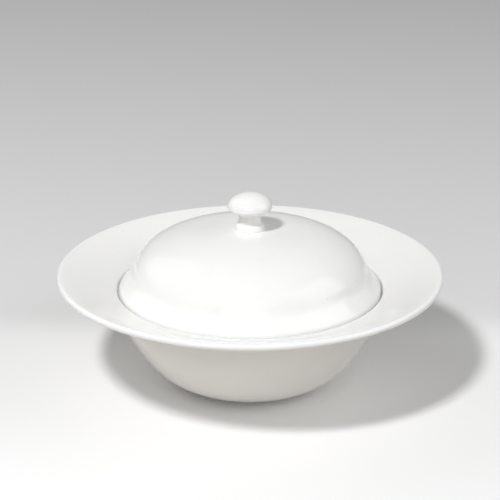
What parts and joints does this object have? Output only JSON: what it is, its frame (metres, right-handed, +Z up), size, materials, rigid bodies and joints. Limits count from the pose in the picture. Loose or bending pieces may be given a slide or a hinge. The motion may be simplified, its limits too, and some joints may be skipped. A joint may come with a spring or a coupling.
{
  "type": "soup bowl with lid",
  "caption": "Round soup bowl with a deep well, a wide dished rim and a foot ring. A stepped seat holds a domed lid that lifts off by its mushroom knob.",
  "frame": {"origin": "on the table, at the axis of the bowl, in the plane of the foot ring's resting face", "axes": "+Z up along the axis of the bowl, the knob and the lift of the lid; +X and +Y are free, as the object is round"},
  "size_m": [0.23, 0.23, 0.1165],
  "materials": {
    "glazed_porcelain": "glossy clear glaze on white porcelain"
  },
  "bodies": {
    "bowl": {"bowl": "glazed_porcelain"},
    "lid": {"lid_dome": "glazed_porcelain", "lid_knob": "glazed_porcelain"}
  },
  "joints": [
    {"name": "lid_lift", "type": "slide", "parent": "bowl", "child": "lid", "axis": [0, 0, 1], "range_m": [0, 0.1]}
  ]
}
